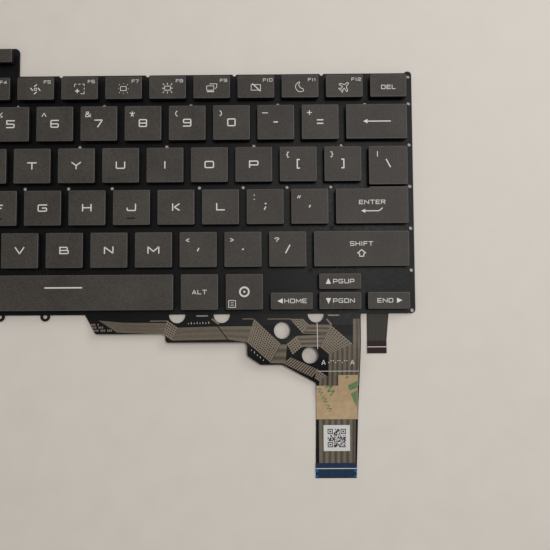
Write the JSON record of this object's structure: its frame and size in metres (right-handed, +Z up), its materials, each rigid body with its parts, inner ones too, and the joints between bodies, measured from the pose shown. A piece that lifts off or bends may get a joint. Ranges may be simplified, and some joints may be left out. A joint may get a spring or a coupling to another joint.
{
  "type": "laptop replacement keyboard",
  "caption": "Flat laptop keyboard module with low keycaps on scissor links, a thin support plate, a membrane circuit with a flat tail and a backlight ribbon.",
  "frame": {"origin": "middle of the support plate's rectangle, on the keyboard's back face", "axes": "+X to the right along the key rows, +Y away from the typist, +Z up out of the keycaps"},
  "size_m": [0.28, 0.187, 0.0052],
  "materials": {
    "plate": "satin black",
    "panel": "matte white reflector",
    "film": "satin black film",
    "liner": "matte kraft paper",
    "label": "matte paper",
    "stiffener": "satin polyester",
    "ribbon": "satin film",
    "dome": "matte",
    "link": "matte natural",
    "wire": "bright",
    "keycap": "fine matte grain"
  },
  "bodies": {
    "base": {"support_plate": "plate", "backlight_panel": "panel", "membrane_circuit": "film", "tape_liner": "liner", "code_label": "label", "ribbon_stiffeners": "stiffener", "backlight_ribbon": "ribbon", "rubber_domes": "dome", "scissor_links": "link", "stabiliser_wires": "wire", "left_hand_keys": "keycap"},
    "cap_f5": {"key_f5": "keycap"},
    "cap_f6": {"key_f6": "keycap"},
    "cap_f7": {"key_f7": "keycap"},
    "cap_f8": {"key_f8": "keycap"},
    "cap_f9": {"key_f9": "keycap"},
    "cap_f10": {"key_f10": "keycap"},
    "cap_f11": {"key_f11": "keycap"},
    "cap_f12": {"key_f12": "keycap"},
    "cap_del": {"key_del": "keycap"},
    "cap_6": {"key_6": "keycap"},
    "cap_7": {"key_7": "keycap"},
    "cap_8": {"key_8": "keycap"},
    "cap_9": {"key_9": "keycap"},
    "cap_0": {"key_0": "keycap"},
    "cap_minus": {"key_minus": "keycap"},
    "cap_equal": {"key_equal": "keycap"},
    "cap_backspace": {"key_backspace": "keycap"},
    "cap_t": {"key_t": "keycap"},
    "cap_y": {"key_y": "keycap"},
    "cap_u": {"key_u": "keycap"},
    "cap_i": {"key_i": "keycap"},
    "cap_o": {"key_o": "keycap"},
    "cap_p": {"key_p": "keycap"},
    "cap_bracket_left": {"key_bracket_left": "keycap"},
    "cap_bracket_right": {"key_bracket_right": "keycap"},
    "cap_backslash": {"key_backslash": "keycap"},
    "cap_g": {"key_g": "keycap"},
    "cap_h": {"key_h": "keycap"},
    "cap_j": {"key_j": "keycap"},
    "cap_k": {"key_k": "keycap"},
    "cap_l": {"key_l": "keycap"},
    "cap_semicolon": {"key_semicolon": "keycap"},
    "cap_quote": {"key_quote": "keycap"},
    "cap_enter": {"key_enter": "keycap"},
    "cap_v": {"key_v": "keycap"},
    "cap_b": {"key_b": "keycap"},
    "cap_n": {"key_n": "keycap"},
    "cap_m": {"key_m": "keycap"},
    "cap_comma": {"key_comma": "keycap"},
    "cap_period": {"key_period": "keycap"},
    "cap_slash": {"key_slash": "keycap"},
    "cap_shift_right": {"key_shift_right": "keycap"},
    "cap_space": {"key_space": "keycap"},
    "cap_alt_right": {"key_alt_right": "keycap"},
    "cap_assistant": {"key_assistant": "keycap"},
    "cap_arrow_left": {"key_arrow_left": "keycap"},
    "cap_arrow_down": {"key_arrow_down": "keycap"},
    "cap_arrow_right": {"key_arrow_right": "keycap"},
    "cap_arrow_up": {"key_arrow_up": "keycap"}
  },
  "joints": [
    {"name": "press_f5", "type": "slide", "parent": "base", "child": "cap_f5", "axis": [0, 0, -1], "range_m": [0, 0.0017], "stiffness_N_per_m": 250, "springref_m": -0.0012, "deforming": ["rubber_domes", "scissor_links"]},
    {"name": "press_f6", "type": "slide", "parent": "base", "child": "cap_f6", "axis": [0, 0, -1], "range_m": [0, 0.0017], "stiffness_N_per_m": 250, "springref_m": -0.0012, "deforming": ["rubber_domes", "scissor_links"]},
    {"name": "press_f7", "type": "slide", "parent": "base", "child": "cap_f7", "axis": [0, 0, -1], "range_m": [0, 0.0017], "stiffness_N_per_m": 250, "springref_m": -0.0012, "deforming": ["rubber_domes", "scissor_links"]},
    {"name": "press_f8", "type": "slide", "parent": "base", "child": "cap_f8", "axis": [0, 0, -1], "range_m": [0, 0.0017], "stiffness_N_per_m": 250, "springref_m": -0.0012, "deforming": ["rubber_domes", "scissor_links"]},
    {"name": "press_f9", "type": "slide", "parent": "base", "child": "cap_f9", "axis": [0, 0, -1], "range_m": [0, 0.0017], "stiffness_N_per_m": 250, "springref_m": -0.0012, "deforming": ["rubber_domes", "scissor_links"]},
    {"name": "press_f10", "type": "slide", "parent": "base", "child": "cap_f10", "axis": [0, 0, -1], "range_m": [0, 0.0017], "stiffness_N_per_m": 250, "springref_m": -0.0012, "deforming": ["rubber_domes", "scissor_links"]},
    {"name": "press_f11", "type": "slide", "parent": "base", "child": "cap_f11", "axis": [0, 0, -1], "range_m": [0, 0.0017], "stiffness_N_per_m": 250, "springref_m": -0.0012, "deforming": ["rubber_domes", "scissor_links"]},
    {"name": "press_f12", "type": "slide", "parent": "base", "child": "cap_f12", "axis": [0, 0, -1], "range_m": [0, 0.0017], "stiffness_N_per_m": 250, "springref_m": -0.0012, "deforming": ["rubber_domes", "scissor_links"]},
    {"name": "press_del", "type": "slide", "parent": "base", "child": "cap_del", "axis": [0, 0, -1], "range_m": [0, 0.0017], "stiffness_N_per_m": 250, "springref_m": -0.0012, "deforming": ["rubber_domes", "scissor_links"]},
    {"name": "press_6", "type": "slide", "parent": "base", "child": "cap_6", "axis": [0, 0, -1], "range_m": [0, 0.0017], "stiffness_N_per_m": 250, "springref_m": -0.0012, "deforming": ["rubber_domes", "scissor_links"]},
    {"name": "press_7", "type": "slide", "parent": "base", "child": "cap_7", "axis": [0, 0, -1], "range_m": [0, 0.0017], "stiffness_N_per_m": 250, "springref_m": -0.0012, "deforming": ["rubber_domes", "scissor_links"]},
    {"name": "press_8", "type": "slide", "parent": "base", "child": "cap_8", "axis": [0, 0, -1], "range_m": [0, 0.0017], "stiffness_N_per_m": 250, "springref_m": -0.0012, "deforming": ["rubber_domes", "scissor_links"]},
    {"name": "press_9", "type": "slide", "parent": "base", "child": "cap_9", "axis": [0, 0, -1], "range_m": [0, 0.0017], "stiffness_N_per_m": 250, "springref_m": -0.0012, "deforming": ["rubber_domes", "scissor_links"]},
    {"name": "press_0", "type": "slide", "parent": "base", "child": "cap_0", "axis": [0, 0, -1], "range_m": [0, 0.0017], "stiffness_N_per_m": 250, "springref_m": -0.0012, "deforming": ["rubber_domes", "scissor_links"]},
    {"name": "press_minus", "type": "slide", "parent": "base", "child": "cap_minus", "axis": [0, 0, -1], "range_m": [0, 0.0017], "stiffness_N_per_m": 250, "springref_m": -0.0012, "deforming": ["rubber_domes", "scissor_links"]},
    {"name": "press_equal", "type": "slide", "parent": "base", "child": "cap_equal", "axis": [0, 0, -1], "range_m": [0, 0.0017], "stiffness_N_per_m": 250, "springref_m": -0.0012, "deforming": ["rubber_domes", "scissor_links"]},
    {"name": "press_backspace", "type": "slide", "parent": "base", "child": "cap_backspace", "axis": [0, 0, -1], "range_m": [0, 0.0017], "stiffness_N_per_m": 250, "springref_m": -0.0012, "deforming": ["rubber_domes", "scissor_links", "stabiliser_wires"]},
    {"name": "press_t", "type": "slide", "parent": "base", "child": "cap_t", "axis": [0, 0, -1], "range_m": [0, 0.0017], "stiffness_N_per_m": 250, "springref_m": -0.0012, "deforming": ["rubber_domes", "scissor_links"]},
    {"name": "press_y", "type": "slide", "parent": "base", "child": "cap_y", "axis": [0, 0, -1], "range_m": [0, 0.0017], "stiffness_N_per_m": 250, "springref_m": -0.0012, "deforming": ["rubber_domes", "scissor_links"]},
    {"name": "press_u", "type": "slide", "parent": "base", "child": "cap_u", "axis": [0, 0, -1], "range_m": [0, 0.0017], "stiffness_N_per_m": 250, "springref_m": -0.0012, "deforming": ["rubber_domes", "scissor_links"]},
    {"name": "press_i", "type": "slide", "parent": "base", "child": "cap_i", "axis": [0, 0, -1], "range_m": [0, 0.0017], "stiffness_N_per_m": 250, "springref_m": -0.0012, "deforming": ["rubber_domes", "scissor_links"]},
    {"name": "press_o", "type": "slide", "parent": "base", "child": "cap_o", "axis": [0, 0, -1], "range_m": [0, 0.0017], "stiffness_N_per_m": 250, "springref_m": -0.0012, "deforming": ["rubber_domes", "scissor_links"]},
    {"name": "press_p", "type": "slide", "parent": "base", "child": "cap_p", "axis": [0, 0, -1], "range_m": [0, 0.0017], "stiffness_N_per_m": 250, "springref_m": -0.0012, "deforming": ["rubber_domes", "scissor_links"]},
    {"name": "press_bracket_left", "type": "slide", "parent": "base", "child": "cap_bracket_left", "axis": [0, 0, -1], "range_m": [0, 0.0017], "stiffness_N_per_m": 250, "springref_m": -0.0012, "deforming": ["rubber_domes", "scissor_links"]},
    {"name": "press_bracket_right", "type": "slide", "parent": "base", "child": "cap_bracket_right", "axis": [0, 0, -1], "range_m": [0, 0.0017], "stiffness_N_per_m": 250, "springref_m": -0.0012, "deforming": ["rubber_domes", "scissor_links"]},
    {"name": "press_backslash", "type": "slide", "parent": "base", "child": "cap_backslash", "axis": [0, 0, -1], "range_m": [0, 0.0017], "stiffness_N_per_m": 250, "springref_m": -0.0012, "deforming": ["rubber_domes", "scissor_links"]},
    {"name": "press_g", "type": "slide", "parent": "base", "child": "cap_g", "axis": [0, 0, -1], "range_m": [0, 0.0017], "stiffness_N_per_m": 250, "springref_m": -0.0012, "deforming": ["rubber_domes", "scissor_links"]},
    {"name": "press_h", "type": "slide", "parent": "base", "child": "cap_h", "axis": [0, 0, -1], "range_m": [0, 0.0017], "stiffness_N_per_m": 250, "springref_m": -0.0012, "deforming": ["rubber_domes", "scissor_links"]},
    {"name": "press_j", "type": "slide", "parent": "base", "child": "cap_j", "axis": [0, 0, -1], "range_m": [0, 0.0017], "stiffness_N_per_m": 250, "springref_m": -0.0012, "deforming": ["rubber_domes", "scissor_links"]},
    {"name": "press_k", "type": "slide", "parent": "base", "child": "cap_k", "axis": [0, 0, -1], "range_m": [0, 0.0017], "stiffness_N_per_m": 250, "springref_m": -0.0012, "deforming": ["rubber_domes", "scissor_links"]},
    {"name": "press_l", "type": "slide", "parent": "base", "child": "cap_l", "axis": [0, 0, -1], "range_m": [0, 0.0017], "stiffness_N_per_m": 250, "springref_m": -0.0012, "deforming": ["rubber_domes", "scissor_links"]},
    {"name": "press_semicolon", "type": "slide", "parent": "base", "child": "cap_semicolon", "axis": [0, 0, -1], "range_m": [0, 0.0017], "stiffness_N_per_m": 250, "springref_m": -0.0012, "deforming": ["rubber_domes", "scissor_links"]},
    {"name": "press_quote", "type": "slide", "parent": "base", "child": "cap_quote", "axis": [0, 0, -1], "range_m": [0, 0.0017], "stiffness_N_per_m": 250, "springref_m": -0.0012, "deforming": ["rubber_domes", "scissor_links"]},
    {"name": "press_enter", "type": "slide", "parent": "base", "child": "cap_enter", "axis": [0, 0, -1], "range_m": [0, 0.0017], "stiffness_N_per_m": 250, "springref_m": -0.0012, "deforming": ["rubber_domes", "scissor_links", "stabiliser_wires"]},
    {"name": "press_v", "type": "slide", "parent": "base", "child": "cap_v", "axis": [0, 0, -1], "range_m": [0, 0.0017], "stiffness_N_per_m": 250, "springref_m": -0.0012, "deforming": ["rubber_domes", "scissor_links"]},
    {"name": "press_b", "type": "slide", "parent": "base", "child": "cap_b", "axis": [0, 0, -1], "range_m": [0, 0.0017], "stiffness_N_per_m": 250, "springref_m": -0.0012, "deforming": ["rubber_domes", "scissor_links"]},
    {"name": "press_n", "type": "slide", "parent": "base", "child": "cap_n", "axis": [0, 0, -1], "range_m": [0, 0.0017], "stiffness_N_per_m": 250, "springref_m": -0.0012, "deforming": ["rubber_domes", "scissor_links"]},
    {"name": "press_m", "type": "slide", "parent": "base", "child": "cap_m", "axis": [0, 0, -1], "range_m": [0, 0.0017], "stiffness_N_per_m": 250, "springref_m": -0.0012, "deforming": ["rubber_domes", "scissor_links"]},
    {"name": "press_comma", "type": "slide", "parent": "base", "child": "cap_comma", "axis": [0, 0, -1], "range_m": [0, 0.0017], "stiffness_N_per_m": 250, "springref_m": -0.0012, "deforming": ["rubber_domes", "scissor_links"]},
    {"name": "press_period", "type": "slide", "parent": "base", "child": "cap_period", "axis": [0, 0, -1], "range_m": [0, 0.0017], "stiffness_N_per_m": 250, "springref_m": -0.0012, "deforming": ["rubber_domes", "scissor_links"]},
    {"name": "press_slash", "type": "slide", "parent": "base", "child": "cap_slash", "axis": [0, 0, -1], "range_m": [0, 0.0017], "stiffness_N_per_m": 250, "springref_m": -0.0012, "deforming": ["rubber_domes", "scissor_links"]},
    {"name": "press_shift_right", "type": "slide", "parent": "base", "child": "cap_shift_right", "axis": [0, 0, -1], "range_m": [0, 0.0017], "stiffness_N_per_m": 250, "springref_m": -0.0012, "deforming": ["rubber_domes", "scissor_links", "stabiliser_wires"]},
    {"name": "press_space", "type": "slide", "parent": "base", "child": "cap_space", "axis": [0, 0, -1], "range_m": [0, 0.0017], "stiffness_N_per_m": 250, "springref_m": -0.0012, "deforming": ["rubber_domes", "scissor_links", "stabiliser_wires"]},
    {"name": "press_alt_right", "type": "slide", "parent": "base", "child": "cap_alt_right", "axis": [0, 0, -1], "range_m": [0, 0.0017], "stiffness_N_per_m": 250, "springref_m": -0.0012, "deforming": ["rubber_domes", "scissor_links"]},
    {"name": "press_assistant", "type": "slide", "parent": "base", "child": "cap_assistant", "axis": [0, 0, -1], "range_m": [0, 0.0017], "stiffness_N_per_m": 250, "springref_m": -0.0012, "deforming": ["rubber_domes", "scissor_links"]},
    {"name": "press_arrow_left", "type": "slide", "parent": "base", "child": "cap_arrow_left", "axis": [0, 0, -1], "range_m": [0, 0.0017], "stiffness_N_per_m": 250, "springref_m": -0.0012, "deforming": ["rubber_domes", "scissor_links"]},
    {"name": "press_arrow_down", "type": "slide", "parent": "base", "child": "cap_arrow_down", "axis": [0, 0, -1], "range_m": [0, 0.0017], "stiffness_N_per_m": 250, "springref_m": -0.0012, "deforming": ["rubber_domes", "scissor_links"]},
    {"name": "press_arrow_right", "type": "slide", "parent": "base", "child": "cap_arrow_right", "axis": [0, 0, -1], "range_m": [0, 0.0017], "stiffness_N_per_m": 250, "springref_m": -0.0012, "deforming": ["rubber_domes", "scissor_links"]},
    {"name": "press_arrow_up", "type": "slide", "parent": "base", "child": "cap_arrow_up", "axis": [0, 0, -1], "range_m": [0, 0.0017], "stiffness_N_per_m": 250, "springref_m": -0.0012, "deforming": ["rubber_domes", "scissor_links"]}
  ]
}
